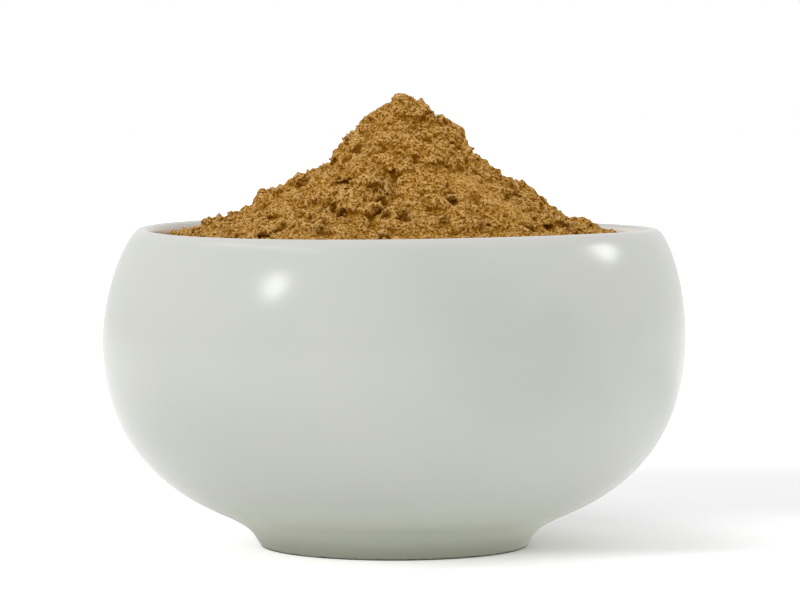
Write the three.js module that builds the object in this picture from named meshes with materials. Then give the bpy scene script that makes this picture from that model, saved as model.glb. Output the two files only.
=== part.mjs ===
// A small round-bellied porcelain bowl, heaped with mushroom powder.
// Millimetres, +Z up. The origin is the centre of the foot ring, on the surface that the bowl stands on.
import * as THREE from 'three';

// Bowl, outside
const BELLY_RADIUS = 55;
const BELLY_HEIGHT = 39.2;
const MOUTH = { radius: 49.3, height: 59.7, lean: 0.8 };
const FOOT = { radius: 25.3, ringWidth: 3.6, recessDepth: 3.6, recessTaper: 0.8, lean: 0.84 };
const FOOT_NECK = { radius: 31.4, height: 5.7, lean: 0.46 };

// Bowl, wall
const LIP_ROUNDING = 1.35;
const BELLY_WALL = 3.5;
const FLOOR_HEIGHT = 9.2;

// How far each curve keeps to its bearing, at its start and at its end
const REACH = {
  footToNeck: [2.1, 6],
  neckToBelly: [4.4, 25.3],
  bellyToMouth: [9.2, 3.4],
  lipToBelly: [2.6, 9],
  bellyToFloor: [22, 32],
};

// Thrown by hand: the mouth sits a little to one side of the foot and isn't quite level
const MOUTH_SHIFT = 0.7;
const MOUTH_SHIFT_POWER = 1.3;
const MOUTH_WARP = 0.3;

// Powder
const GAP = 0.3;
const HEAP_RISE = 27.2;
const HEAP_POWER = 1.92;
const PEAK_ROUNDING = 4;
const EDGE = { width: 5, drop: 2.8, power: 1.5 };
const HEAP_STEPS = 22;

// Broad lumps and hollows on the heap: where each is centred, how far it spreads and how high it stands
const LUMPS = [
  { x: -12.8, y: -1, spread: 4.5, height: -3.0 },
  { x: 5, y: 0, spread: 3.5, height: 1.0 },
  { x: -20, y: 3, spread: 5, height: 0.6 },
  { x: -9, y: 12, spread: 7, height: 1.2 },
  { x: 11.5, y: 0, spread: 5.5, height: 1.6 },
  { x: 25, y: -1, spread: 5, height: 1.6 },
  { x: 6, y: -14, spread: 8, height: 0.8 },
  { x: -12, y: -24, spread: 7, height: 1.0 },
  { x: 20, y: -20, spread: 6, height: 1.2 },
  { x: 12, y: 22, spread: 8, height: 1.2 },
  { x: -22, y: 21, spread: 7, height: 0.9 },
];

const CURVE_STEPS = 6;
const TURN_STEPS = 48;

// Adds one smooth curve to a profile. A bearing is the way the curve runs, in radians up from straight
// outwards.
function sweep(profile, bearing, end, endBearing, [reach, endReach]) {
  const start = profile.currentPoint;
  profile.bezierCurveTo(
    start.x + reach * Math.cos(bearing),
    start.y + reach * Math.sin(bearing),
    end.x - endReach * Math.cos(endBearing),
    end.y - endReach * Math.sin(endBearing),
    end.x,
    end.y,
  );
}

// The inner wall from the lip down to the middle of the floor, moved into the bowl by inset
function innerWall(profile, inset) {
  const up = Math.PI / 2;
  const belly = new THREE.Vector2(BELLY_RADIUS - BELLY_WALL - inset, BELLY_HEIGHT);
  const floor = new THREE.Vector2(0, FLOOR_HEIGHT + inset);
  sweep(profile, MOUTH.lean - up, belly, -up, REACH.lipToBelly);
  sweep(profile, -up, floor, -Math.PI, REACH.bellyToFloor);
}

// Where the inner wall starts, on the inner side of the lip's rounding
function lipInside(inset) {
  const offset = 2 * LIP_ROUNDING + inset;
  return new THREE.Vector2(
    MOUTH.radius - offset * Math.cos(MOUTH.lean),
    MOUTH.height - offset * Math.sin(MOUTH.lean),
  );
}

// Turns a profile into a solid that stands along +Z
function turned(points) {
  const geometry = new THREE.LatheGeometry(points, TURN_STEPS);
  geometry.rotateX(Math.PI / 2);
  return geometry;
}

// Gives a turned solid the slightly shifted and warped mouth of a bowl thrown by hand
function shapeByHand(geometry) {
  const place = geometry.getAttribute('position');
  for (let i = 0; i < place.count; i += 1) {
    const x = place.getX(i);
    const y = place.getY(i);
    const z = place.getZ(i);
    const share = THREE.MathUtils.clamp((z - BELLY_HEIGHT) / (MOUTH.height - BELLY_HEIGHT), 0, 1);
    const outward = Math.min(1, Math.hypot(x, y) / MOUTH.radius);
    const drop = MOUTH_WARP * outward * Math.sin(2 * Math.atan2(y, x));
    place.setXYZ(i, x + MOUTH_SHIFT * share ** MOUTH_SHIFT_POWER, y, z - drop * share);
  }
}

function finished(name, geometry, material) {
  geometry.computeVertexNormals();
  const mesh = new THREE.Mesh(geometry, material);
  mesh.name = name;
  return mesh;
}

function bowl() {
  const up = Math.PI / 2;
  const profile = new THREE.Path();
  const ringInside = FOOT.radius - FOOT.ringWidth;
  profile.moveTo(0, FOOT.recessDepth);
  profile.lineTo(ringInside - FOOT.recessTaper, FOOT.recessDepth);
  profile.lineTo(ringInside, 0);
  profile.lineTo(FOOT.radius, 0);

  const neck = new THREE.Vector2(FOOT_NECK.radius, FOOT_NECK.height);
  const belly = new THREE.Vector2(BELLY_RADIUS, BELLY_HEIGHT);
  const mouth = new THREE.Vector2(MOUTH.radius, MOUTH.height);
  sweep(profile, FOOT.lean, neck, FOOT_NECK.lean, REACH.footToNeck);
  sweep(profile, FOOT_NECK.lean, belly, up, REACH.neckToBelly);
  sweep(profile, up, mouth, up + MOUTH.lean, REACH.bellyToMouth);

  const lipCentre = mouth.clone().add(lipInside(0)).multiplyScalar(0.5);
  profile.absarc(lipCentre.x, lipCentre.y, LIP_ROUNDING, MOUTH.lean, MOUTH.lean + Math.PI, false);
  innerWall(profile, 0);

  const geometry = turned(profile.getPoints(CURVE_STEPS));
  shapeByHand(geometry);
  const glaze = new THREE.MeshStandardMaterial({ color: 0xd2d6cd, roughness: 0.15, metalness: 0 });
  return finished('bowl', geometry, glaze);
}

// Height of the heap's surface at a place inside the mouth. The powder drops off just inside the wall.
function heapHeight(x, y) {
  const edge = lipInside(GAP);
  const distance = Math.hypot(x, y, PEAK_ROUNDING) - PEAK_ROUNDING;
  const inward = Math.max(0, 1 - distance / edge.x);
  let height = HEAP_RISE * inward ** HEAP_POWER;
  for (const lump of LUMPS) {
    const away = Math.hypot(x - lump.x, y - lump.y) / lump.spread;
    height += lump.height * Math.exp(-away * away);
  }
  const share = THREE.MathUtils.clamp((edge.x - Math.hypot(x, y)) / EDGE.width, 0, 1);
  return edge.y + height * share - EDGE.drop * (1 - share) ** EDGE.power;
}

function powderHeap() {
  const edge = lipInside(GAP);
  const underside = new THREE.Path();
  underside.moveTo(edge.x, edge.y);
  innerWall(underside, GAP);
  const wallTop = edge.y - EDGE.drop;
  const wallPoints = underside.getPoints(CURVE_STEPS).reverse().filter((point) => point.y < wallTop);
  const topPoints = [];
  for (let step = 0; step <= HEAP_STEPS; step += 1) {
    topPoints.push(new THREE.Vector2(edge.x * (1 - step / HEAP_STEPS), edge.y));
  }

  const profile = [...wallPoints, ...topPoints];
  const geometry = turned(profile);
  const place = geometry.getAttribute('position');
  for (let i = 0; i < place.count; i += 1) {
    const isTop = i % profile.length >= wallPoints.length;
    if (isTop) {
      place.setZ(i, heapHeight(place.getX(i), place.getY(i)));
    }
  }
  shapeByHand(geometry);
  const powder = new THREE.MeshStandardMaterial({ color: 0x9c7135, roughness: 1, metalness: 0 });
  return finished('powder_heap', geometry, powder);
}

const model = new THREE.Group();
model.add(bowl(), powderHeap());

export default model;
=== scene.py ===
"""A small glazed porcelain bowl heaped with mushroom powder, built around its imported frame."""

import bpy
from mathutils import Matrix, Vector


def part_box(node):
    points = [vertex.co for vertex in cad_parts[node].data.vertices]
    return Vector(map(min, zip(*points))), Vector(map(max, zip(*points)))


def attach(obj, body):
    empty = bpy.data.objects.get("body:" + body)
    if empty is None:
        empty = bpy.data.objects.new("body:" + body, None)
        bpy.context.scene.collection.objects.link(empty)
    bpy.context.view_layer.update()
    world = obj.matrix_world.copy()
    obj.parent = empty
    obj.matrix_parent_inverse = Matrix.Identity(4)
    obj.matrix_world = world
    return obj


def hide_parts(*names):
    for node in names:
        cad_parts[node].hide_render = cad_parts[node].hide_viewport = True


bl_info = {
    "name": "Bowl of mushroom powder",
    "version": (1, 0, 0),
    "blender": (4, 5, 0),
    "location": "3D View > Sidebar > Powder bowl",
    "description": "A glazed porcelain bowl, the heap of mushroom powder in it, and a plain studio",
    "category": "Object",
}

import math

import bmesh
import bpy
import numpy as np
import openvdb
from bpy.props import FloatProperty, FloatVectorProperty, IntProperty, PointerProperty
from mathutils import Matrix, Vector

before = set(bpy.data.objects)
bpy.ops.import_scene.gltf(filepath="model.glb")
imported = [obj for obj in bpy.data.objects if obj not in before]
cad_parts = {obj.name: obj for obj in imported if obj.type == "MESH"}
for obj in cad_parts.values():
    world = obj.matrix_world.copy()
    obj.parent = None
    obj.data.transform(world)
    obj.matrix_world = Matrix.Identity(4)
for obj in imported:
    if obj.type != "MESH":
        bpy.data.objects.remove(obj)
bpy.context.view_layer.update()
BOWL_LOW, BOWL_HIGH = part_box("bowl")

MM = 0.001
UP = math.pi / 2


# ---------------------------------------------------------------------------------------------
# Settings
# ---------------------------------------------------------------------------------------------


def length(name, description, default, **more):
    """A length setting in metres."""
    return FloatProperty(name=name, description=description, default=default, unit="LENGTH",
                         precision=5, **more)


def colour(name, description, default):
    """A colour setting."""
    return FloatVectorProperty(name=name, description=description, default=default,
                               subtype="COLOR", size=3, min=0, max=1)


class BowlSettings(bpy.types.PropertyGroup):
    """The thrown shape of the bowl."""

    belly_radius: length("Belly radius", "Widest radius of the bowl",
                         (BOWL_HIGH.x - BOWL_LOW.x) / 2)
    belly_height: length("Belly height", "Height of the widest place", 39.2 * MM)
    mouth_radius: length("Mouth radius", "Radius where the wall turns into the lip", 49.3 * MM)
    mouth_height: length("Mouth height", "Height where the wall turns into the lip", 59.7 * MM)
    mouth_lean: FloatProperty(name="Mouth lean", description="How far the wall leans in at the lip",
                              default=0.8, subtype="ANGLE")
    lip_rounding: length("Lip rounding", "Half of the wall's thickness at the lip", 1.35 * MM)
    belly_wall: length("Belly wall", "Thickness of the wall at the belly", 3.5 * MM)
    floor_height: length("Floor height", "Height of the inside's lowest place", 9.2 * MM)
    foot_radius: length("Foot radius", "Outer radius of the foot ring", 25.3 * MM)
    foot_ring: length("Foot ring", "Width of the foot ring", 3.6 * MM)
    foot_recess: length("Foot recess", "Depth of the recess inside the foot ring", 3.6 * MM)
    neck_radius: length("Neck radius", "Radius where the foot meets the belly", 31.4 * MM)
    neck_height: length("Neck height", "Height where the foot meets the belly", 5.7 * MM)
    mouth_shift: length("Mouth shift", "How far the mouth sits to one side of the foot", 0.7 * MM)
    mouth_warp: length("Mouth warp", "How far the mouth is out of level", 0.3 * MM)
    turns: IntProperty(name="Turns", description="Facets around the bowl", default=256, min=24)


class GlazeSettings(bpy.types.PropertyGroup):
    """The colours of the glaze and of the bare clay, among them painted shade and painted light."""

    pale: colour("Pale glaze", "Glaze over most of the bowl", (0.49, 0.503, 0.462))
    # Greener and darker: green tint and painted shade, laid mostly on the bowl's right side
    green: colour("Green glaze", "Glaze where it is greener", (0.42, 0.462, 0.405))
    pooled: colour("Pooled glaze", "Thick glaze round the foot", (0.49, 0.515, 0.41))
    # Painted shade: a darker grey low on the left of the belly, not thicker glaze
    low: colour("Low glaze", "Thicker glaze low on the belly", (0.44, 0.452, 0.42))
    lip: colour("Lip glaze", "Thin glaze over the lip", (0.5, 0.5, 0.48))
    # Painted light: far paler than the glaze, it brightens the inner wall under the lip
    inner: colour("Inner glaze", "Glaze on the inner wall", (0.93, 0.93, 0.9))
    # Painted shade: this dark colour makes the bare ring stand for the foot's contact shadow, and
    # darkens the foot above it
    clay: colour("Bare clay", "Unglazed ring under the foot", (0.13, 0.11, 0.08))
    speck: colour("Iron speck", "Dark specks in the glaze", (0.05, 0.045, 0.03))


class PowderSettings(bpy.types.PropertyGroup):
    """The shape and the colours of the powder, among them its painted shade and painted light."""

    seed: IntProperty(name="Seed", description="Another number gives another heap", default=8)
    cell: length("Cell", "Size of the smallest detail in the heap's mesh", 0.35 * MM, min=0.2 * MM)
    rise: length("Rise", "Height of the heap over the powder's edge", 26.9 * MM)
    peak_rounding: length("Peak rounding", "How blunt the heap's top is", 4.0 * MM)
    # Painted shade: the powder's colour deep in the crevices
    powder_in_shade: colour("Hollow", "Powder deep in the crevices", (0.19, 0.068, 0.001))
    body: colour("Body", "Powder over most of the heap", (0.47, 0.24, 0.044))
    # Painted light: the powder's colour on the crumbs' tops and upward faces
    powder_in_light: colour("Ridge", "Powder on the crumbs' tops", (0.64, 0.395, 0.145))


class StudioSettings(bpy.types.PropertyGroup):
    """The camera and the lights."""

    distance: length("Camera distance", "From the bowl's axis to the camera", 0.760)
    side: length("Camera side", "How far the camera stands to the right of the axis", 1.1 * MM)
    height: length("Camera height", "Height of the camera over the floor", 91.95 * MM)
    tilt: FloatProperty(name="Camera tilt", description="How far the camera looks down",
                        default=0.05983, subtype="ANGLE")
    lens: FloatProperty(name="Lens", description="Focal length in millimetres", default=181.34,
                        unit="CAMERA")
    tent: FloatProperty(name="Tent", description="Brightness of the white tent all round",
                        default=0.93, min=0)
    floor_glow: FloatProperty(name="Floor glow", min=0, default=0.55,
                              description="How far the floor outshines lit paper")


# ---------------------------------------------------------------------------------------------
# Materials
# ---------------------------------------------------------------------------------------------


class Wire:
    """A node's output that arithmetic can be written with: 1 - wire adds a Math node."""

    def __init__(self, graph, socket):
        self.graph = graph
        self.socket = socket

    def maths(self, operation, *values):
        return self.graph.node("Math", {"operation": operation}, dict(enumerate(values)))

    def __add__(self, other):
        return self.maths("ADD", self, other)

    def __radd__(self, other):
        return self.maths("ADD", other, self)

    def __sub__(self, other):
        return self.maths("SUBTRACT", self, other)

    def __rsub__(self, other):
        return self.maths("SUBTRACT", other, self)

    def __mul__(self, other):
        return self.maths("MULTIPLY", self, other)

    def __rmul__(self, other):
        return self.maths("MULTIPLY", other, self)

    def __gt__(self, other):
        return self.maths("GREATER_THAN", self, other)

    def __lt__(self, other):
        return self.maths("LESS_THAN", self, other)


class Graph:
    """A node tree, and the one way that nodes are added to it."""

    def __init__(self, owner):
        owner.use_nodes = True
        self.tree = owner.node_tree
        self.tree.nodes.clear()

    def node(self, kind, settings=None, sockets=None, output=0):
        """Adds a node. Its settings come first, then the values or wires of its sockets."""
        made = self.tree.nodes.new("ShaderNode" + kind)
        for name, value in (settings or {}).items():
            if name == "stops":
                self.set_stops(made.color_ramp, value)
            else:
                setattr(made, name, value)
        for key, value in (sockets or {}).items():
            if isinstance(value, Wire):
                self.tree.links.new(value.socket, made.inputs[key])
            else:
                made.inputs[key].default_value = value
        return Wire(self, made.outputs[output]) if made.outputs else made

    def set_stops(self, ramp, stops):
        """Gives a colour ramp its stops, each a place and a colour."""
        while len(ramp.elements) < len(stops):
            ramp.elements.new(1)
        for element, (place, shade) in zip(ramp.elements, stops):
            element.position = place
            element.color = (*shade, 1)

    def blend(self, share, first, second):
        """A colour part of the way from the first to the second."""
        return self.node("Mix", {"data_type": "RGBA", "clamp_factor": True},
                         {0: share, 6: opaque(first), 7: opaque(second)}, output=2)

    def ramp(self, value, start, end):
        """0 up to the start, 1 past the end and smooth between. The end may be the lower one."""
        return self.node("MapRange", {"interpolation_type": "SMOOTHSTEP", "clamp": True},
                         {"Value": value, "From Min": start, "From Max": end,
                          "To Min": 0, "To Max": 1})

    def place(self):
        """The place on the piece in millimetres, as a vector, and its three parts."""
        metres = self.node("TexCoord", output=3)
        vector = self.node("VectorMath", {"operation": "SCALE"}, {0: metres, "Scale": 1 / MM})
        return vector, *(self.node("SeparateXYZ", {}, {0: vector}, output=k) for k in range(3))

    def stretched(self, vector, by):
        """A vector with each of its parts multiplied."""
        return self.node("VectorMath", {"operation": "MULTIPLY"}, {0: vector, 1: by})

    def grey(self, value):
        """A grey of a value, as a colour."""
        return self.node("CombineColor", {}, {0: value, 1: value, 2: value})

    def noise(self, vector, size, detail=2.0, roughness=0.5):
        """Soft noise from 0 to 1, with features of a size in millimetres."""
        return self.node("TexNoise", {}, {"Vector": vector, "Scale": 1 / size, "Detail": detail,
                                          "Roughness": roughness})

    def dots(self, vector, size, full, end):
        """Scattered round dots, one to each cell of a size: 1 within full of a dot's middle and 0
        past its end, both as shares of the cell."""
        away = self.node("TexVoronoi", {"feature": "F1"}, {"Vector": vector, "Scale": 1 / size})
        return 1 - self.ramp(away, full, end)


def opaque(value):
    """A colour that a Mix socket takes."""
    return value if isinstance(value, Wire) else (*value[:3], 1)


def finish_material(graph, bsdf):
    """Makes a shader the material's surface."""
    graph.node("OutputMaterial", {}, {"Surface": bsdf})


# Heights on the bowl, in millimetres, where each change of its glaze, painted shade and painted
# light starts and is complete
# The painted shade low on the belly: where it starts, and where it fades out towards the neck
LOW_SHADE_BAND = (38, 16)
LOW_SHADE_END = (4, 14)
POOL_BAND = (15, 4)
# The painted shade that darkens the foot
FOOT_SHADE_BAND = (4.5, 0.8)
BARE_BAND = (0.35, 0.6)
LIP_BAND = (58.8, 60.3)
# Where the painted light on the inner wall starts and is complete
INNER_LIGHT_BAND = (59.9, 58.4)
DUST_BAND = (60.2, 57.5)

# The same across the bowl, counted to the right of its axis
# The side with green tint and painted shade
GREEN_AND_SHADED_SIDE = (-20, 45)
DUSTY_SIDE = (-20, -42)

# The cone that parts the inner wall near the lip from the rest: a radius, its height and its lean
INNER_CONE = (49.1, 57.5, 0.64)
INNER_LOWEST = 53

# Sizes of the markings in the glaze, in millimetres, and the height of its ripples
CLOUD = 38
LIP_WAVE = 6
STREAK = 1.1
SMEAR = 1.6
STUCK_CRUMB = 1.1
BROAD_RIPPLE = 22
FINE_RIPPLE = 1.3
RIPPLE_HEIGHT = 0.35 * MM

# The streaks run long round the foot, because their noise is read at places multiplied by this
STREAK_STRETCH = (0.04, 0.04, 1)

# Specks lie in cells of a size in millimetres, and this share of the cells has none
SPECK_SPACING = 9
SPECKLESS = 0.78

# How strongly each marking, and the painted shade on the foot, covers the glaze under it
FOOT_SHADE_COVER = 0.32
SPECK_COVER = 0.85
SMEAR_COVER = 0.4
STUCK_COVER = 0.75


def clouded_and_shaded_glaze(graph, at, x, z, glaze):
    """The glaze's colour: greener, darker clouds on the right as tint and painted shade, painted shade
    low on the left and on the foot, and warmer glaze pooled round the foot.
    """
    right = graph.ramp(x, *GREEN_AND_SHADED_SIDE)
    low = graph.ramp(z, *LOW_SHADE_BAND)
    clouds = graph.ramp(graph.noise(at, CLOUD, 2), 0.35, 0.7)
    # Green tint and painted shade, mostly on the right and held back low on the right
    green_and_shade_share = clouds * (0.25 + 0.75 * right) * (1 - low * right)
    shade = graph.blend(green_and_shade_share, glaze.pale, glaze.green)
    # Painted shade: darker grey low on the belly's left side
    shade = graph.blend(low * graph.ramp(z, *LOW_SHADE_END) * (1 - right), shade, glaze.low)

    streaks = graph.noise(graph.stretched(at, STREAK_STRETCH), STREAK, 3, 0.6)
    shade = graph.blend(graph.ramp(z, *POOL_BAND) * (0.2 + 1.2 * streaks), shade, glaze.pooled)
    # Painted shade: the foot darkened towards the dark clay colour
    shade = graph.blend(graph.ramp(z, *FOOT_SHADE_BAND) * FOOT_SHADE_COVER, shade, glaze.clay)
    lip_share = graph.ramp(z + graph.noise(at, LIP_WAVE) * 1.2, *LIP_BAND)
    return graph.blend(lip_share, shade, glaze.lip)


def iron_specks(graph, at):
    """A few dark specks, in only some of the cells."""
    chance = graph.node("TexVoronoi", {"feature": "F1"},
                        {"Vector": at, "Scale": 1 / SPECK_SPACING}, output=1)
    lucky = graph.node("SeparateColor", {}, {0: chance}) > SPECKLESS
    return graph.dots(at, SPECK_SPACING, 0.018, 0.034) * lucky


def inner_light_and_dust(graph, shade, at, x, z, glaze, powder):
    """A colour with painted light that pales the inner wall under the lip, and the powder smeared and
    stuck on it.
    """
    radius, height, lean = INNER_CONE
    wide = graph.node("VectorMath", {"operation": "LENGTH"},
                      {0: graph.stretched(at, (1, 1, 0))}, output=1)
    inside = (wide < radius + (height - z) * lean) * (z > INNER_LOWEST)
    # Painted light: the inner wall under the lip made far paler
    shade = graph.blend(inside * graph.ramp(z, *INNER_LIGHT_BAND), shade, glaze.inner)

    dusty = inside * graph.ramp(z, *DUST_BAND) * (0.4 + 0.6 * graph.ramp(x, *DUSTY_SIDE))
    smear = dusty * graph.ramp(graph.noise(at, SMEAR, 3, 0.7), 0.4, 0.62)
    # Dust smeared on the wall, in the powder's painted-light colour
    shade = graph.blend(smear * SMEAR_COVER, shade, powder.powder_in_light)
    # Stuck crumbs, as dots in the powder's painted-shade colour
    stuck = dusty * graph.dots(at, STUCK_CRUMB, 0.16, 0.24)
    return graph.blend(stuck * STUCK_COVER, shade, powder.powder_in_shade)


def glaze_material(glaze, powder):
    """Pale grey-green glaze with iron specks, stuck powder and painted shade and light, and a bare foot
    ring dark with painted contact shade.
    """
    material = bpy.data.materials.new("celadon_glaze")
    graph = Graph(material)
    at, x, y, z = graph.place()
    shade = clouded_and_shaded_glaze(graph, at, x, z, glaze)
    shade = graph.blend(iron_specks(graph, at) * SPECK_COVER, shade, glaze.speck)
    shade = inner_light_and_dust(graph, shade, at, x, z, glaze, powder)
    # The bare ring under the foot is real; its very dark colour is painted contact shade
    bare = 1 - graph.ramp(z + graph.noise(at, 1.5) * 0.3, *BARE_BAND)
    shade = graph.blend(bare, shade, glaze.clay)

    ripple = graph.noise(at, BROAD_RIPPLE, 1) * 0.9 + graph.noise(at, FINE_RIPPLE, 2) * 0.012
    relief = graph.node("Bump", {}, {"Strength": 1.0, "Distance": RIPPLE_HEIGHT, "Height": ripple})
    bsdf = graph.node("BsdfPrincipled", {}, {"Base Color": shade, "Roughness": 0.2 + 0.5 * bare,
                                             "Normal": relief, "IOR": 1.5})
    finish_material(graph, bsdf)
    return material


# Sizes of the powder's grains and of its paler patches, in millimetres
GRAIN = 0.47
PATCH = 8
GRAIN_HEIGHT = 0.8 * MM
# How strongly the grains' noise darkens its dips and pales its rises as painted shade and light
GRAIN_SHADE_CONTRAST = 7.2
PATCH_CONTRAST = 0.25


def powder_material(powder):
    """Dry brown powder, with painted shade in the crevices and painted light on the crumbs' tops."""
    material = bpy.data.materials.new("mushroom_powder")
    graph = Graph(material)
    at = graph.place()[0]
    exposure = graph.node("Attribute", {"attribute_name": "exposure"}, output=2)
    loose = graph.node("Attribute", {"attribute_name": "loose"}, output=2)
    grains = graph.noise(at, GRAIN, 2, 0.6)
    patches = (graph.noise(at, PATCH, 2) - 0.5) * PATCH_CONTRAST
    # Grain colour and painted shade at the grains' scale: the bump's own noise, darker in its dips,
    # paler on its rises
    crumbs = (grains - 0.5) * GRAIN_SHADE_CONTRAST * (0.35 + 0.65 * loose)
    # Painted shade in crevices and painted light on crests and upward faces, with random paler and
    # darker patches
    level = 0.12 + exposure * (0.72 + crumbs) + patches
    stops = [(0.1, powder.powder_in_shade), (0.48, powder.body), (0.92, powder.powder_in_light)]
    shade = graph.node("ValToRGB", {"stops": stops}, {"Fac": level})
    relief = graph.node("Bump", {}, {"Strength": 1.0, "Distance": GRAIN_HEIGHT, "Height": grains})
    bsdf = graph.node("BsdfPrincipled", {}, {"Base Color": shade, "Roughness": 1.0,
                                             "Specular IOR Level": 0.0, "Diffuse Roughness": 0.3,
                                             "Normal": relief})
    finish_material(graph, bsdf)
    return material


# Places on the floor, in millimetres: where the painted shadow on the right, in front of the bowl,
# behind it and far behind it starts and is complete
SHADED_SIDE = (-15, 25)
SHADED_FRONT = (-28, -4)
SHADED_BACK = (15, 70)
SHADE_END = (120, 260)


def floor_material(studio):
    """White sheet brighter than lit paper, with a painted shadow on the right over the bowl's real
    shadow.
    """
    material = bpy.data.materials.new("floor_white")
    graph = Graph(material)
    at, x, y, z = graph.place()
    right = graph.ramp(x, *SHADED_SIDE) * (1 - graph.ramp(y, *SHADE_END))
    front = 1 - graph.ramp(y, *SHADED_FRONT)
    behind = graph.ramp(y, *SHADED_BACK)
    seen = graph.node("LightPath")
    # Painted shadow: paper darker behind the bowl on the right
    paper = graph.grey(0.88 - 0.2 * behind * right)
    # Seen by the camera the floor glows, cut back on the right as a painted shadow, less so in front of
    # the bowl; other rays get an even glow
    glow = studio.floor_glow * (1 - right * (0.8 - 0.5 * front)) * seen + 0.2 * (1 - seen)
    bsdf = graph.node("BsdfPrincipled", {}, {"Base Color": paper, "Roughness": 0.7,
                                             "Specular IOR Level": 0.1,
                                             "Emission Color": graph.grey(glow),
                                             "Emission Strength": 1.0})
    finish_material(graph, bsdf)
    return material


# ---------------------------------------------------------------------------------------------
# Bowl
# ---------------------------------------------------------------------------------------------

# How far each curve of the bowl's section keeps to its bearing, at its start and at its end
LIP_TO_BELLY = (2.6 * MM, 9 * MM)
BELLY_TO_FLOOR = (22 * MM, 32 * MM)
FOOT_TO_NECK = (2.0 * MM, 6 * MM)
NECK_TO_BELLY = (4.4 * MM, 25.3 * MM)
BELLY_TO_MOUTH = (9.2 * MM, 3.4 * MM)

FOOT_LEAN = 0.84
NECK_LEAN = 0.46

# The foot ring: its rounded edges, and the slope and the corner of the recess inside it
FOOT_EDGE = 0.35 * MM
FOOT_EDGE_REACH = (0.2 * MM, 0.2 * MM)
FOOT_EDGE_LEAN = 1.3
RECESS_TAPER = 0.8 * MM
RECESS_LEAN = -1.35
RECESS_CORNER = MM
RECESS_CORNER_RUN = 0.2 * MM

# How many points the inner wall has from the lip to the belly, and from there to the floor
WALL_STEPS = (24, 44)

# How sharply the mouth's shift to one side grows towards the lip
SHIFT_POWER = 1.3


def bend(start, bearing, end, end_bearing, reaches, steps):
    """Points along a smooth curve, without its start. A bearing is in radians up from outwards."""
    start = np.array(start)
    end = np.array(end)
    reach, end_reach = reaches
    first = start + reach * np.array([math.cos(bearing), math.sin(bearing)])
    second = end - end_reach * np.array([math.cos(end_bearing), math.sin(end_bearing)])
    t = np.linspace(0, 1, steps + 1)[1:, None]
    return ((1 - t) ** 3 * start + 3 * (1 - t) ** 2 * t * first
            + 3 * (1 - t) * t ** 2 * second + t ** 3 * end)


def arc(centre, radius, first, last, steps):
    """Points along a round, without its start."""
    angle = np.linspace(first, last, steps + 1)[1:]
    return np.array(centre) + radius * np.column_stack([np.cos(angle), np.sin(angle)])


def lip_centre(bowl):
    """The centre of the lip's rounding, as a radius and a height."""
    lean = np.array([math.cos(bowl.mouth_lean), math.sin(bowl.mouth_lean)])
    return np.array([bowl.mouth_radius, bowl.mouth_height]) - bowl.lip_rounding * lean


def inner_wall(bowl, inset=0.0):
    """The inner wall from the lip to the middle of the floor, moved into the bowl by inset."""
    lean = np.array([math.cos(bowl.mouth_lean), math.sin(bowl.mouth_lean)])
    start = lip_centre(bowl) - (bowl.lip_rounding + inset) * lean
    belly = (bowl.belly_radius - bowl.belly_wall - inset, bowl.belly_height)
    floor = (0, bowl.floor_height + inset)
    upper = bend(start, bowl.mouth_lean - UP, belly, -UP, LIP_TO_BELLY, WALL_STEPS[0])
    lower = bend(belly, -UP, floor, -math.pi, BELLY_TO_FLOOR, WALL_STEPS[1])
    return np.vstack([start, upper, lower])


def foot_profile(bowl):
    """The foot's section, from the middle of its recess to the outer edge of its ring."""
    inside = bowl.foot_radius - bowl.foot_ring
    recess = bowl.foot_recess
    corner = inside - RECESS_TAPER
    ceiling_end = (corner - RECESS_CORNER, recess)
    wall_top = (corner + RECESS_CORNER_RUN, recess - RECESS_CORNER)
    wall_end = (inside, FOOT_EDGE)
    ring_start = (inside + FOOT_EDGE, 0)
    ring_end = (bowl.foot_radius - FOOT_EDGE, 0)
    outer = (bowl.foot_radius, FOOT_EDGE)
    return np.vstack([
        (0, recess),
        bend((0, recess), 0, ceiling_end, 0, (5 * MM, 5 * MM), 8),
        bend(ceiling_end, 0, wall_top, RECESS_LEAN, (0.6 * MM, 0.6 * MM), 5),
        bend(wall_top, RECESS_LEAN, wall_end, RECESS_LEAN, (0.5 * MM, 0.5 * MM), 4),
        bend(wall_end, RECESS_LEAN, ring_start, 0, FOOT_EDGE_REACH, 4),
        bend(ring_start, 0, ring_end, 0, (MM, MM), 4),
        bend(ring_end, 0, outer, FOOT_EDGE_LEAN, FOOT_EDGE_REACH, 4),
    ])


def bowl_profile(bowl):
    """The whole section of the bowl, from the middle of the foot's recess round to the floor."""
    foot = foot_profile(bowl)
    neck = (bowl.neck_radius, bowl.neck_height)
    belly = (bowl.belly_radius, bowl.belly_height)
    mouth = (bowl.mouth_radius, bowl.mouth_height)
    lean = bowl.mouth_lean
    return np.vstack([
        foot,
        bend(foot[-1], FOOT_LEAN, neck, NECK_LEAN, FOOT_TO_NECK, 18),
        bend(neck, NECK_LEAN, belly, UP, NECK_TO_BELLY, 44),
        bend(belly, UP, mouth, UP + lean, BELLY_TO_MOUTH, 30),
        arc(lip_centre(bowl), bowl.lip_rounding, lean, lean + math.pi, 20),
        inner_wall(bowl)[1:],
    ])


def thrown(points, bowl):
    """Gives places on a true round bowl the slightly shifted and warped mouth of a thrown one."""
    x, y, z = points.T
    share = np.clip((z - bowl.belly_height) / (bowl.mouth_height - bowl.belly_height), 0, 1)
    outward = np.minimum(1, np.hypot(x, y) / bowl.mouth_radius)
    drop = bowl.mouth_warp * outward * np.sin(2 * np.arctan2(y, x))
    return np.column_stack([x + bowl.mouth_shift * share ** SHIFT_POWER, y, z - drop * share])


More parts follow.
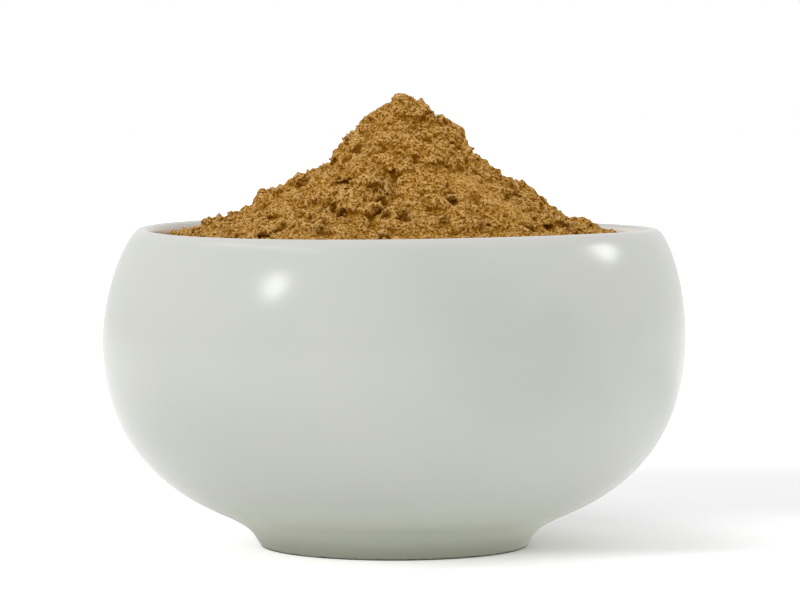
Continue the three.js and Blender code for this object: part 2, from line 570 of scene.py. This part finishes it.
def turn(profile, turns):
    """Vertices and faces of a profile turned about the axis it starts and ends on."""
    angles = np.linspace(0, 2 * math.pi, turns, endpoint=False)
    rings = profile[1:-1]
    count = len(rings)
    verts = np.empty((turns, count, 3))
    verts[:, :, 0] = np.outer(np.cos(angles), rings[:, 0])
    verts[:, :, 1] = np.outer(np.sin(angles), rings[:, 0])
    verts[:, :, 2] = rings[:, 1]
    ends = np.array([[0, 0, profile[0][1]], [0, 0, profile[-1][1]]])
    low = turns * count
    faces = []
    for i in range(turns):
        a = i * count
        b = (i + 1) % turns * count
        faces.append((low, b, a))
        faces.extend((a + j, b + j, b + j + 1, a + j + 1) for j in range(count - 1))
        faces.append((a + count - 1, b + count - 1, low + 1))
    return np.vstack([verts.reshape(-1, 3), ends]), faces


def add_piece(name, verts, faces, material, smooth=True):
    """A mesh piece at the origin, with its places in the frame."""
    mesh = bpy.data.meshes.new(name)
    mesh.from_pydata(np.asarray(verts).tolist(), [], faces)
    mesh.validate()
    mesh.materials.append(material)
    if smooth:
        mesh.shade_smooth()
    piece = bpy.data.objects.new(name, mesh)
    bpy.context.collection.objects.link(piece)
    return piece


# ---------------------------------------------------------------------------------------------
# Powder
# ---------------------------------------------------------------------------------------------

GAP = 0.3 * MM
HEAP_POWER = 1.92

# Just inside the wall the powder drops off
EDGE_WIDTH = 5.0 * MM
EDGE_DROP = 2.8 * MM
EDGE_POWER = 1.5

# The block of cells reaches this far under the powder's edge, over the heap's top and past its sides
DEPTH = 3.5 * MM
HEADROOM = 5 * MM
MARGIN = 2 * MM

# How deep the crumbly crust goes
CRUST = 3.6 * MM

# Fourier transforms are quick on counts that are multiples of this
QUICK_COUNT = 16

# Broad lumps and hollows: x, y, spread and height in millimetres
LUMPS = [
    (-13, -1, 5.5, -2.6),
    (-12, 7, 5, -2.2),
    (-12, -8, 4, -1.2),
    (5, 0, 3.5, 1.0),
    (-20, 3, 5, 0.6),
    (-9, 12, 7, 1.2),
    (11.5, 0, 5.5, 1.6),
    (25, -1, 5, 1.6),
    (6, -14, 8, 0.8),
    (13.2, -17.5, 3.6, 0.9),
    (20.5, -22.5, 3.4, 0.7),
    (-12, -24, 7, 1.0),
    (20, -20, 6, 1.2),
    (12, 22, 8, 1.2),
    (-22, 21, 7, 0.9),
]

# Cracks: both ends as x, y, and the width, in millimetres
CRACKS = [
    ((-1.2, -15.5), (-2.0, -18.8), 0.6),
    ((4.2, -13.2), (3.9, -15.0), 0.6),
    ((-13.0, -22.5), (-9.6, -25.0), 1.15),
    ((9.8, -20.5), (9.6, -27.5), 0.65),
    ((9.6, -27.5), (13.0, -28.5), 0.55),
    ((-10.5, -38.0), (-7.0, -39.5), 1.2),
    ((23.5, -24.5), (26.0, -24.0), 0.6),
    ((14.3, -20.4), (14.6, -22.4), 0.5),
    ((-25.5, -25.0), (-23.5, -27.0), 0.6),
    ((-12.0, 20.0), (-7.0, 22.0), 0.8),
    ((18.0, 12.0), (17.0, 19.0), 0.7),
]

# A crack is dug as balls along it and under each other: how many along it, the share of its width
# that is left at its ends, and how far each ball sinks for its radius
CRACK_STEPS = 9
CRACK_END = 0.35
CRACK_SINKS = (0, 1.2, 2.2)

# Faces pressed smooth: x, y and radius in millimetres
PRESSED = [
    (13.2, -17.5, 4.0),
    (20.5, -22.5, 3.2),
    (-19.0, 17.0, 4.5),
    (16.0, 24.0, 4.0),
]

# How much of the crumbling a pressed face is spared
PRESSED_SHARE = 0.85

# Broken slabs: size, how far they stick out and depth of the cracks, in millimetres
SLABS = [
    (7.0, 0.8, 0.9),
    (3.4, 0.5, 0.6),
]

# How far a slab may reach and how wide the cracks between slabs are, both for the slab's size, and
# how many times the edges are softened
SLAB_REACH = 1.3
GROOVE_WIDTH = 0.07
SOFTENINGS = 3

# The slabs' faces are made uneven by waves of one size, taken from three places at once
DRIFT = 0.5 * MM
DRIFT_SIZE = 3.2 * MM
DRIFT_CELLS = 40

# Crumbly layers: size and height in millimetres, and how creased
LAYERS = [
    (9.0, 0.35, 0.3),
    (4.2, 0.32, 0.4),
    (2.1, 0.26, 0.5),
    (1.2, 0.18, 0.6),
]

# How far a wave's size may stray, and the level and the height of its creases for its own
WAVE_RANGE = 0.4
CREASE_MIDDLE = 0.8
CREASE_HEIGHT = 1.6

# How far, in cells, the powder round a place is weighed to tell a crest from a crevice, and how
# much that and the way the surface faces count towards its painted shade and painted light
EXPOSURE_REACHES = (1, 3, 6)
OPENNESS = 2.4
UPWARD = 0.42
UPWARD_MIDDLE = 0.75

# How many cells a crumb may stand out from the solid powder before it counts as hanging in the air,
# and where a dropped or filled cell lies from the surface, in cells
ISLAND_STEPS = 24
JUST_PAST = 0.4

# The heap's flat underside is cut off this many cells over its bottom. From there the powder goes
# down as rings: how far under the cut the first may be, and how many of the inner wall's points
# there are to a ring
CUT_CELLS = 1.5
FILL_START = MM
FILL_EVERY = 4


def gaussian_hills(x, y, hills):
    """A sum of round hills, each given as x, y, spread and height in millimetres."""
    total = 0
    for hill_x, hill_y, spread, rise in hills:
        away = np.hypot(x - hill_x * MM, y - hill_y * MM) / (spread * MM)
        total = total + rise * np.exp(-away * away)
    return total


def heap_height(x, y, edge, powder):
    """Height of the heap's plain form over a place inside the mouth."""
    radius = np.hypot(x, y)
    distance = np.hypot(radius, powder.peak_rounding) - powder.peak_rounding
    inward = np.maximum(0, 1 - distance / edge[0])
    height = powder.rise * inward ** HEAP_POWER + gaussian_hills(x, y, LUMPS) * MM
    fade = np.clip((edge[0] - radius) / EDGE_WIDTH, 0, 1)
    return edge[1] + height * fade - EDGE_DROP * (1 - fade) ** EDGE_POWER


class HeapField:
    """Distance to the heap's surface on a block of cells: negative inside the powder."""

    def __init__(self, bowl, powder):
        self.powder = powder
        self.cell = powder.cell
        self.edge = inner_wall(bowl, GAP)[0]
        self.bottom = self.edge[1] - DEPTH
        reach = self.edge[0] + MARGIN
        self.x = self.cells(-reach, reach)
        self.z = self.cells(self.bottom - MM, self.edge[1] + powder.rise + HEADROOM)
        self.origin = np.array([self.x[0], self.x[0], self.z[0]])
        gx, gy = np.meshgrid(self.x, self.x, indexing="ij")
        height = heap_height(gx, gy, self.edge, powder)
        slope_x, slope_y = np.gradient(height, self.cell)
        steep = np.sqrt(1 + slope_x ** 2 + slope_y ** 2)
        rise = self.z[None, None, :] - height[:, :, None]
        self.plain = (rise / steep[:, :, None]).astype(np.float32)
        self.distance = self.plain.copy()
        pressed = [(x, y, radius, 1) for x, y, radius in PRESSED]
        self.loose = 1 - PRESSED_SHARE * np.clip(gaussian_hills(gx, gy, pressed), 0, 1)

    def cells(self, low, high):
        """Places of the cells from low to high or a little beyond."""
        count = math.ceil((high - low) / self.cell / QUICK_COUNT) * QUICK_COUNT
        return low + self.cell * np.arange(count)

    def near(self, centre, reach):
        """The block of cells round a place, and its cells' distances from the place on each axis."""
        low = np.maximum(0, ((centre - reach - self.origin) / self.cell).astype(int))
        high = np.minimum(self.distance.shape,
                          ((centre + reach - self.origin) / self.cell).astype(int) + 2)
        block = tuple(slice(a, max(a, b)) for a, b in zip(low, high))
        away = []
        for k, part in enumerate(block):
            shape = [1, 1, 1]
            shape[k] = -1
            place = self.origin[k] + self.cell * np.arange(part.start, part.stop) - centre[k]
            away.append(place.reshape(shape).astype(np.float32))
        return block, away

    def dig(self, start, end, width):
        """Digs a narrow crack from one place to another, deepest in the middle."""
        for share in np.linspace(0, 1, CRACK_STEPS):
            x, y = ((1 - share) * np.array(start) + share * np.array(end)) * MM
            swell = math.sin(math.pi * (0.1 + 0.8 * share))
            radius = width * MM * (CRACK_END + (1 - CRACK_END) * swell)
            top = heap_height(x, y, self.edge, self.powder)
            for sink in CRACK_SINKS:
                centre = np.array([x, y, top - sink * radius])
                block, away = self.near(centre, radius * 2)
                ball = np.sqrt(sum(axis ** 2 for axis in away)) - radius
                self.distance[block] = np.maximum(self.distance[block], -ball)

    def waves(self, rng, size):
        """Smooth random waves of one size in every direction, with a spread of 1."""
        shape = self.distance.shape
        along = [np.fft.fftfreq(shape[0], self.cell), np.fft.fftfreq(shape[1], self.cell),
                 np.fft.rfftfreq(shape[2], self.cell)]
        often = np.sqrt(along[0][:, None, None] ** 2 + along[1][None, :, None] ** 2
                        + along[2][None, None, :] ** 2) * size
        keep = np.exp(-((often - 1) / WAVE_RANGE) ** 2)
        spectrum = np.fft.rfftn(rng.standard_normal(shape, dtype=np.float32)) * keep
        made = np.fft.irfftn(spectrum, shape).astype(np.float32)
        return made / made.std()

    def slabs(self, rng, size, drift):
        """Breaks space into irregular slabs: each cell's slab lift, and distance from a crack."""
        first = np.full(self.distance.shape, size, np.float32)
        second = first.copy()
        lift = np.zeros_like(first)
        span = np.array(self.distance.shape) * self.cell
        for place in self.origin + span * rng.random((int(span.prod() / size ** 3), 3)):
            own_lift = rng.uniform(-1, 1)
            block, away = self.near(place, 0)
            if np.abs(self.plain[block]).min() > CRUST + size:
                continue
            block, away = self.near(place, size * SLAB_REACH)
            far = np.sqrt(sum((axis + part[block]) ** 2 for axis, part in zip(away, drift)))
            nearest = far < first[block]
            second[block] = np.where(nearest, first[block], np.minimum(second[block], far))
            lift[block][nearest] = own_lift
            first[block] = np.minimum(first[block], far)
        return lift, second - first

    def crumble(self, rng):
        """Breaks the powder into slabs, lumps and grains of several sizes."""
        near = np.nonzero(np.abs(self.plain) < CRUST)
        loose = self.loose[near[0], near[1]].astype(np.float32) * MM
        wave = self.waves(rng, DRIFT_SIZE)
        drift = [DRIFT * np.roll(wave, DRIFT_CELLS * k, axis=0) for k in range(3)]
        for size, shift, crack in SLABS:
            lift, gap = self.slabs(rng, size * MM, drift)
            groove = np.exp(-(gap[near] / (GROOVE_WIDTH * size * MM)) ** 2)
            self.distance[near] -= (shift * lift[near] - crack * groove) * loose
        self.soften(SOFTENINGS)
        for size, height, crease in LAYERS:
            wave = self.waves(rng, size * MM)[near]
            folds = (np.abs(wave) - CREASE_MIDDLE) * CREASE_HEIGHT
            bulge = (1 - crease) * wave + crease * folds
            self.distance[near] -= height * bulge * loose

    def soften(self, times):
        """Rounds off thin edges."""
        for _ in range(times):
            for axis in range(3):
                ahead = np.roll(self.distance, -1, axis=axis)
                behind = np.roll(self.distance, 1, axis=axis)
                self.distance = 0.5 * self.distance + 0.25 * (ahead + behind)

    def trim(self, bowl):
        """Keeps the powder inside the bowl's wall and cuts it level underneath."""
        wall = inner_wall(bowl, GAP)[::-1]
        radius_at = np.interp(self.z, wall[:, 1], wall[:, 0])
        radius = np.hypot(self.x[:, None], self.x[None, :])
        beyond = radius[:, :, None] - radius_at[None, None, :]
        np.maximum(self.distance, beyond.astype(np.float32), out=self.distance)
        below = (self.bottom - self.z).astype(np.float32)
        np.maximum(self.distance, below[None, None, :], out=self.distance)

    def tidy(self):
        """Drops bits that hang in the air and fills bubbles inside."""
        for sign in (1, -1):
            inside = self.distance * sign < 0
            joined = inside & (self.plain * sign < -CRUST * 0.5)
            for _ in range(ISLAND_STEPS):
                joined = grown(joined) & inside
            self.distance[inside & ~joined] = JUST_PAST * self.cell * sign

    def exposure(self, points):
        """How open the surface is round each point: below 0 in a crevice, above 0 on a crest."""
        powder = np.clip(0.5 - self.distance / self.cell, 0, 1)
        place = (points - self.origin) / self.cell
        cell = np.clip(np.floor(place).astype(int), 0, np.array(powder.shape) - 2)
        share = place - cell
        openness = 0
        for reach in EXPOSURE_REACHES:
            solid = averaged(powder, reach)
            filled = 0
            for corner in np.ndindex(2, 2, 2):
                weight = np.prod(np.where(corner, share, 1 - share), axis=1)
                filled = filled + weight * solid[tuple((cell + corner).T)]
            openness = openness + (0.5 - filled) * OPENNESS / len(EXPOSURE_REACHES)
        return openness

    def looseness(self, points):
        """How crumbly the powder is at each point: low where it was pressed smooth."""
        cell = np.rint((points[:, :2] - self.x[0]) / self.cell).astype(int)
        return self.loose[tuple(cell.T)]

    def mesh(self):
        """Vertices and four-sided faces of the surface."""
        grid = openvdb.FloatGrid(background=float(CRUST))
        grid.copyFromArray(np.clip(self.distance, -CRUST, CRUST))
        verts, faces = grid.convertToQuads(isovalue=0.0)
        return verts * self.cell + self.origin, faces


def give_values(piece, name, values):
    """A value for each vertex of a piece, which its material reads by name."""
    data = piece.data.attributes.new(name, "FLOAT", "POINT")
    data.data.foreach_set("value", values.astype(np.float32))


def vertex_places(mesh):
    """The place of each vertex."""
    places = np.empty(len(mesh.vertices) * 3)
    mesh.vertices.foreach_get("co", places)
    return places.reshape(-1, 3)


def upward_facing(mesh):
    """The upward part of each vertex's normal."""
    facing = np.empty(len(mesh.vertices) * 3, np.float32)
    mesh.vertex_normals.foreach_get("vector", facing)
    return facing.reshape(-1, 3)[:, 2]


def fill_bowl(mesh, bowl, level):
    """Swaps the heap's flat underside for powder that follows the bowl down to its floor."""
    form = bmesh.new()
    form.from_mesh(mesh)
    below = [v for v in form.verts if v.co.z < level]
    bmesh.ops.delete(form, geom=below, context="VERTS")
    rim = [e for e in form.edges if e.is_boundary]
    wall = inner_wall(bowl, GAP)
    wall = wall[wall[:, 1] < level - FILL_START][::FILL_EVERY]
    for radius, height in wall[:-1]:
        made = bmesh.ops.extrude_edge_only(form, edges=rim)["geom"]
        rim = [e for e in made if isinstance(e, bmesh.types.BMEdge) and e.is_boundary]
        for vert in {v for e in rim for v in e.verts}:
            out = math.hypot(vert.co.x, vert.co.y)
            vert.co.x *= radius / out
            vert.co.y *= radius / out
            vert.co.z = height
    made = bmesh.ops.contextual_create(form, geom=rim)["faces"]
    bmesh.ops.poke(form, faces=made)
    bmesh.ops.recalc_face_normals(form, faces=form.faces)
    form.to_mesh(mesh)
    form.free()
    mesh.shade_smooth()


def averaged(block, reach):
    """A block with each cell the average of the cells up to a reach away from it."""
    for axis in range(3):
        total = np.cumsum(block, axis=axis)
        ahead = np.roll(total, -reach, axis=axis)
        behind = np.roll(total, reach + 1, axis=axis)
        block = (ahead - behind) / (2 * reach + 1)
    return block


def grown(mask):
    """A mask with every cell that touches it."""
    more = mask.copy()
    for axis in range(3):
        ahead = [slice(None)] * 3
        behind = [slice(None)] * 3
        ahead[axis] = slice(1, None)
        behind[axis] = slice(None, -1)
        more[tuple(ahead)] |= mask[tuple(behind)]
        more[tuple(behind)] |= mask[tuple(ahead)]
    return more


# ---------------------------------------------------------------------------------------------
# Operators
# ---------------------------------------------------------------------------------------------


class POWDERBOWL_OT_bowl(bpy.types.Operator):
    """Turn the porcelain bowl and glaze it"""

    bl_idname = "powderbowl.bowl"
    bl_label = "Bowl"

    def execute(self, context):
        scene = context.scene
        bowl = scene.powderbowl_bowl
        verts, faces = turn(bowl_profile(bowl), bowl.turns)
        material = glaze_material(scene.powderbowl_glaze, scene.powderbowl_powder)
        piece = add_piece("porcelain_bowl", thrown(verts, bowl), faces, material)
        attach(piece, "root")
        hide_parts("bowl")
        return {"FINISHED"}


class POWDERBOWL_OT_heap(bpy.types.Operator):
    """Heap the mushroom powder in the bowl"""

    bl_idname = "powderbowl.heap"
    bl_label = "Powder heap"

    def execute(self, context):
        scene = context.scene
        bowl = scene.powderbowl_bowl
        powder = scene.powderbowl_powder
        rng = np.random.default_rng(powder.seed)
        field = HeapField(bowl, powder)
        for start, end, width in CRACKS:
            field.dig(start, end, width)
        field.crumble(rng)
        field.trim(bowl)
        field.tidy()
        verts, faces = field.mesh()
        piece = add_piece("powder", verts, faces.tolist(), powder_material(powder))
        # Upward faces count as more exposed: painted light from above
        upward = UPWARD * (upward_facing(piece.data) - UPWARD_MIDDLE)
        exposure = np.clip(0.5 + field.exposure(verts) + upward, 0, 1)
        give_values(piece, "exposure", exposure)
        give_values(piece, "loose", field.looseness(verts))
        fill_bowl(piece.data, bowl, field.bottom + CUT_CELLS * field.cell)
        places = thrown(vertex_places(piece.data), bowl)
        piece.data.vertices.foreach_set("co", places.ravel())
        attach(piece, "root")
        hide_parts("powder_heap")
        return {"FINISHED"}


class POWDERBOWL_OT_stage(bpy.types.Operator):
    """Set up the floor, the lights and the camera"""

    bl_idname = "powderbowl.stage"
    bl_label = "Studio"

    def execute(self, context):
        studio = context.scene.powderbowl_studio
        add_floor(studio)
        add_tent(context.scene, studio)
        for lamp in LAMPS:
            add_lamp(*lamp)
        add_camera(context.scene, studio)
        return {"FINISHED"}


# The floor is a square sheet: half its side in metres, and its corners for that
FLOOR_REACH = 4.0
CORNERS = [(-1, -1, 0), (1, -1, 0), (1, 1, 0), (-1, 1, 0)]

# Lamps: name, direction from the bowl, which way the long side runs, both sides in metres, how many
# times brighter than white the face looks, its shape, and whether the glaze reflects it
LAMPS = [
    ("softbox_left", (-0.69, -0.56, 0.467), (0.5, -0.8, 0), (0.17, 0.2), 12, "ELLIPSE", True),
    ("softbox_right", (0.855, 0.22, 0.47), (0.2, -1, 0), (0.22, 0.22), 7.5, "ELLIPSE", True),
    ("strip_left", (-0.598, -0.051, 0.8), (0.35, -0.94, 0.2), (0.876, 0.03), 6, "RECTANGLE", True),
    ("overhead", (-0.25, -0.15, 0.95), (0.55, -0.83, 0), (0.5, 0.5), 3.0, "RECTANGLE", False),
]

# The lamps aim at this share of the bowl's height
LAMP_AIM = 0.8

# Width of the camera's sensor in millimetres, and the nearest that it sees in metres
SENSOR_WIDTH = 36
NEAREST = 0.01


def add_floor(studio):
    """The white floor, which is stage and not part of the bowl."""
    corners = np.array(CORNERS) * FLOOR_REACH
    floor = add_piece("floor", corners, [(0, 1, 2, 3)], floor_material(studio), smooth=False)


def add_tent(scene, studio):
    """A white light tent, seen as plain white."""
    world = bpy.data.worlds.new("tent")
    scene.world = world
    graph = Graph(world)
    light = graph.node("Background", {}, {"Color": (1, 1, 1, 1), "Strength": studio.tent})
    seen = graph.node("Background", {}, {"Color": (1, 1, 1, 1), "Strength": 1.0})
    mixed = graph.node("MixShader", {}, {0: graph.node("LightPath"), 1: light, 2: seen})
    graph.node("OutputWorld", {}, {"Surface": mixed})


def add_lamp(name, direction, along, size, brightness, shape, reflected):
    """A soft light one metre from the bowl, aimed at a place near its rim."""
    lamp = bpy.data.lights.new(name, "AREA")
    lamp.shape = shape
    lamp.size, lamp.size_y = size
    area = size[0] * size[1] * (math.pi / 4 if shape == "ELLIPSE" else 1)
    lamp.energy = brightness * math.pi * area
    holder = bpy.data.objects.new(name, lamp)
    bpy.context.collection.objects.link(holder)
    back = Vector(direction).normalized()
    side = (Vector(along) - Vector(along).dot(back) * back).normalized()
    turn_to = Matrix((side, back.cross(side), back)).transposed().to_4x4()
    centre = Vector((0, 0, BOWL_HIGH.z * LAMP_AIM))
    holder.matrix_world = Matrix.Translation(centre + back) @ turn_to
    holder.visible_glossy = reflected


def add_camera(scene, studio):
    """The camera, in front of the bowl and a little above its rim."""
    lens = bpy.data.cameras.new("camera")
    lens.sensor_width = SENSOR_WIDTH
    lens.lens = studio.lens
    lens.clip_start = NEAREST
    camera = bpy.data.objects.new("camera", lens)
    bpy.context.collection.objects.link(camera)
    camera.location = (studio.side, -studio.distance, studio.height)
    camera.rotation_euler = (UP - studio.tilt, 0, 0)
    scene.camera = camera
    scene.view_settings.view_transform = "Standard"


class POWDERBOWL_PT_panel(bpy.types.Panel):
    """The steps that build the bowl of powder"""

    bl_label = "Powder bowl"
    bl_idname = "POWDERBOWL_PT_panel"
    bl_space_type = "VIEW_3D"
    bl_region_type = "UI"
    bl_category = "Powder bowl"

    def draw(self, context):
        for step in STEPS:
            self.layout.operator(step.bl_idname)


SETTINGS = {
    "powderbowl_bowl": BowlSettings,
    "powderbowl_glaze": GlazeSettings,
    "powderbowl_powder": PowderSettings,
    "powderbowl_studio": StudioSettings,
}
STEPS = [POWDERBOWL_OT_bowl, POWDERBOWL_OT_heap, POWDERBOWL_OT_stage]


def register():
    """Registers the settings, the steps and the panel."""
    for group in (*SETTINGS.values(), *STEPS, POWDERBOWL_PT_panel):
        bpy.utils.register_class(group)
    for name, group in SETTINGS.items():
        setattr(bpy.types.Scene, name, PointerProperty(type=group))


def unregister():
    """Takes away all that register added."""
    for name in SETTINGS:
        delattr(bpy.types.Scene, name)
    for group in (POWDERBOWL_PT_panel, *reversed(STEPS), *SETTINGS.values()):
        bpy.utils.unregister_class(group)


def main():
    """Builds the bowl, the powder and the stage."""
    register()
    bpy.ops.powderbowl.bowl()
    bpy.ops.powderbowl.heap()
    bpy.ops.powderbowl.stage()


if __name__ == "__main__":
    main()
